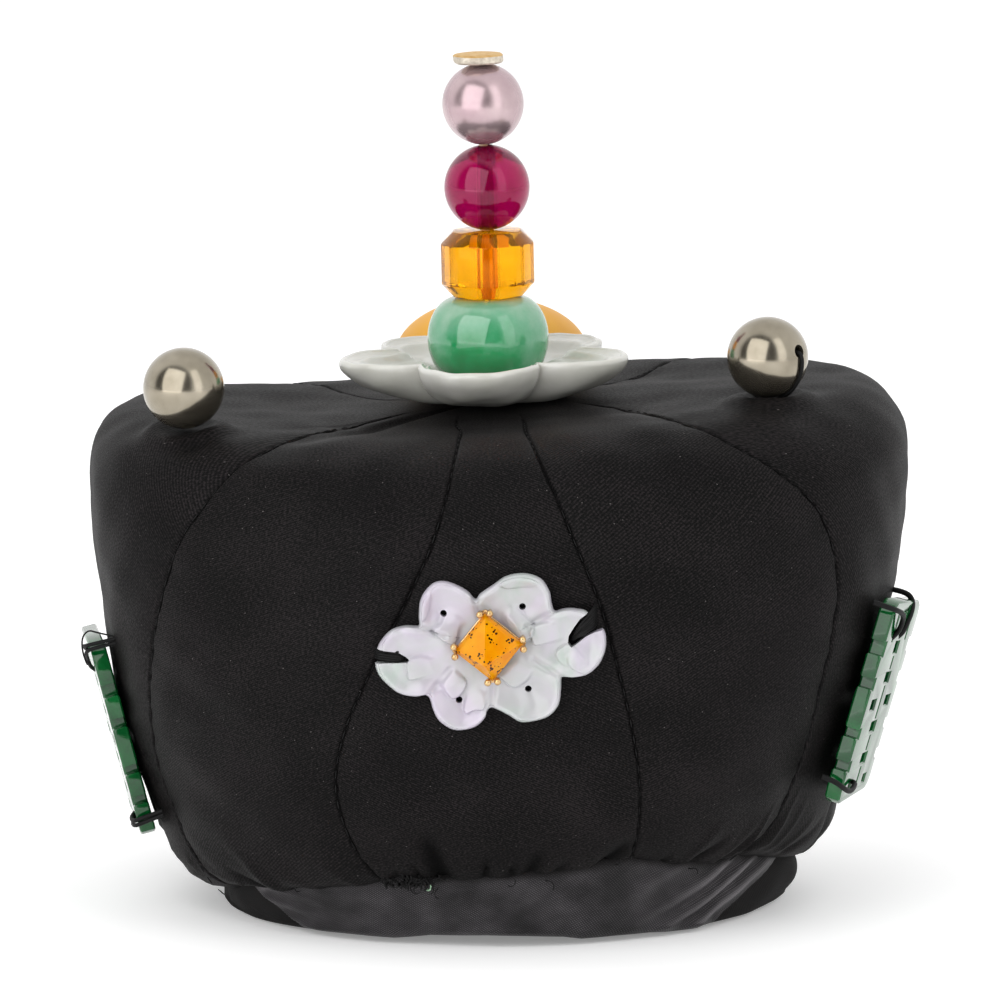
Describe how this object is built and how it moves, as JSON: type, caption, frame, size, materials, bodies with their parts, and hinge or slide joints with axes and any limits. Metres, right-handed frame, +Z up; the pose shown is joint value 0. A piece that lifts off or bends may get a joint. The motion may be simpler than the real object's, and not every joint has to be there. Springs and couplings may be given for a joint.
{
  "type": "bridal coronet",
  "caption": "Padded black satin coronet with a wide gored crown, a jade dish and bead stack on top, and jade, amber and pearl ornaments sewn round it.",
  "frame": {"origin": "middle of the object's box, at the bottom of the hem on which it stands", "axes": "+Z up along the bead stack, +X to the right as seen from the front, the front with the flower plaque faces -Y"},
  "size_m": [0.1234, 0.1128, 0.1251],
  "materials": {
    "black_satin": "fine twill-backed satin, soft sheen",
    "ribbed_hem_cloth": "matte ribbed weave",
    "grey_white_jade": "polished, faintly waxy",
    "mottled_green_jade": "high polish, cloudy green",
    "clear_amber": "polished, clear",
    "ruby_red_glass": "polished, deep red",
    "pink_pearl": "pearl lustre",
    "gilt_disc": "matte gilt face, rough silvery edge",
    "pin_brass": "plain",
    "grey_pearl": "dark champagne pearl lustre",
    "honey_stone": "opaque honey amber, satin",
    "white_jade": "carved, waxy polish, faint lavender and green",
    "setting_gold": "polished gold",
    "speckled_amber": "polished, dark specks inside",
    "dark_green_jade": "mirror-polished face, carved edges"
  },
  "bodies": {
    "root": {"panel_front": "black_satin", "panel_front_right": "black_satin", "panel_right": "black_satin", "panel_back_right": "black_satin", "panel_back": "black_satin", "panel_back_left": "black_satin", "panel_left": "black_satin", "panel_front_left": "black_satin", "hem_band": "ribbed_hem_cloth", "jade_dish": "grey_white_jade", "jade_bead": "mottled_green_jade", "amber_bead": "clear_amber", "ruby_bead": "ruby_red_glass", "pink_pearl": "pink_pearl", "top_disc": "gilt_disc", "stack_pin": "pin_brass", "pearl_left": "grey_pearl", "pearl_right": "grey_pearl", "back_stone": "honey_stone", "flower_plaque": "white_jade", "stone_setting": "setting_gold", "amber_stone": "speckled_amber", "fret_plate_left": "dark_green_jade", "fret_plate_right": "dark_green_jade"}
  },
  "joints": []
}
